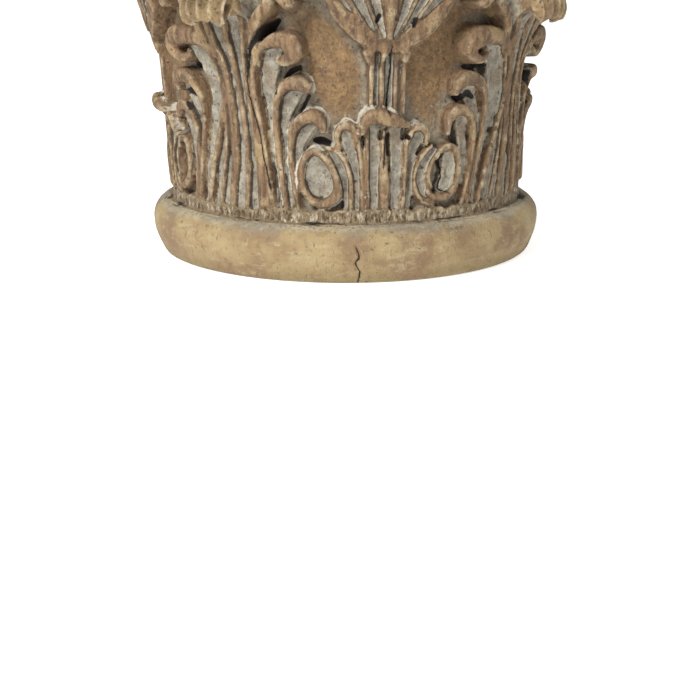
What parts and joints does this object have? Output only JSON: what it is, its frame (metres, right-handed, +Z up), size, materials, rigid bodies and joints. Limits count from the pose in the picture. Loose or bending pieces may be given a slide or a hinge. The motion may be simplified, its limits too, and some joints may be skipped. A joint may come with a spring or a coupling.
{
  "type": "decorative pedestal",
  "caption": "Low cast pedestal shaped as a Corinthian capital: round base, acanthus leaves, corner volutes and a flat square top with hollowed sides.",
  "frame": {"origin": "centre of the underside, on the surface that the pedestal stands on", "axes": "+Z up along the axis of the bell; the four sides face -Y (front), +X, +Y and -X, with the leaves and volutes on the diagonals"},
  "size_m": [0.356, 0.356, 0.305],
  "materials": {
    "cast_stone": "matt, aged: brown stain on the ridges, pale whitewash left in the hollows, warm cream base"
  },
  "bodies": {
    "root": {"pedestal": "cast_stone"}
  },
  "joints": []
}
